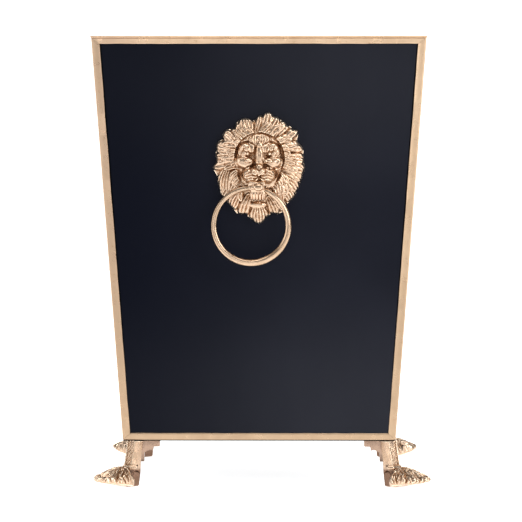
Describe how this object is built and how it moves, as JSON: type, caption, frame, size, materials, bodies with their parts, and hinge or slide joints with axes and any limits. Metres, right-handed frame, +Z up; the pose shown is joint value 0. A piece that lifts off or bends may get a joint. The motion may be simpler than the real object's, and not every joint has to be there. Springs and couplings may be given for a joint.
{
  "type": "square tapered bin",
  "caption": "Square tapered open-top bin of dark enamelled sheet with brass edging, lion-mask ring handles and cast paw feet.",
  "frame": {"origin": "on the floor, at the middle of the four feet", "axes": "+Z up; the front, with the first lion mask, faces -Y; +X is to the right as seen from the front"},
  "size_m": [0.3106, 0.3288, 0.413],
  "materials": {
    "enamel": "satin",
    "brass_edging": "satin",
    "brass_casting": "polished, darkened in the hollows",
    "fixings": "zinc plated"
  },
  "bodies": {
    "bin": {"front_panel": "enamel", "right_panel": "enamel", "rear_panel": "enamel", "left_panel": "enamel", "bottom_pan": "enamel", "base_strip_front": "brass_edging", "base_strip_right": "brass_edging", "base_strip_rear": "brass_edging", "base_strip_left": "brass_edging", "corner_strip_front_left": "brass_edging", "corner_strip_front_right": "brass_edging", "corner_strip_rear_right": "brass_edging", "corner_strip_rear_left": "brass_edging", "rim_strip_front": "brass_edging", "rim_strip_right": "brass_edging", "rim_strip_rear": "brass_edging", "rim_strip_left": "brass_edging", "lion_mask_front": "brass_casting", "lion_mask_rear": "brass_casting", "mask_studs_front": "fixings", "mask_studs_rear": "fixings", "mask_washers_front": "fixings", "mask_washers_rear": "fixings", "mask_nuts_front": "fixings", "mask_nuts_rear": "fixings", "paw_foot_front_left": "brass_casting", "paw_foot_front_right": "brass_casting", "paw_foot_rear_right": "brass_casting", "paw_foot_rear_left": "brass_casting", "foot_screws": "fixings", "foot_washers": "fixings"},
    "front_ring": {"ring_front": "brass_casting"},
    "rear_ring": {"ring_rear": "brass_casting"}
  },
  "joints": [
    {"name": "front_ring_swing", "type": "hinge", "parent": "bin", "child": "front_ring", "pos_m": [-0.0025, -0.15178, 0.27428], "axis": [-1, 0, 0], "range_deg": [-9, 140]},
    {"name": "rear_ring_swing", "type": "hinge", "parent": "bin", "child": "rear_ring", "pos_m": [-0.0025, 0.15178, 0.27428], "axis": [1, 0, 0], "range_deg": [-9, 140]}
  ]
}
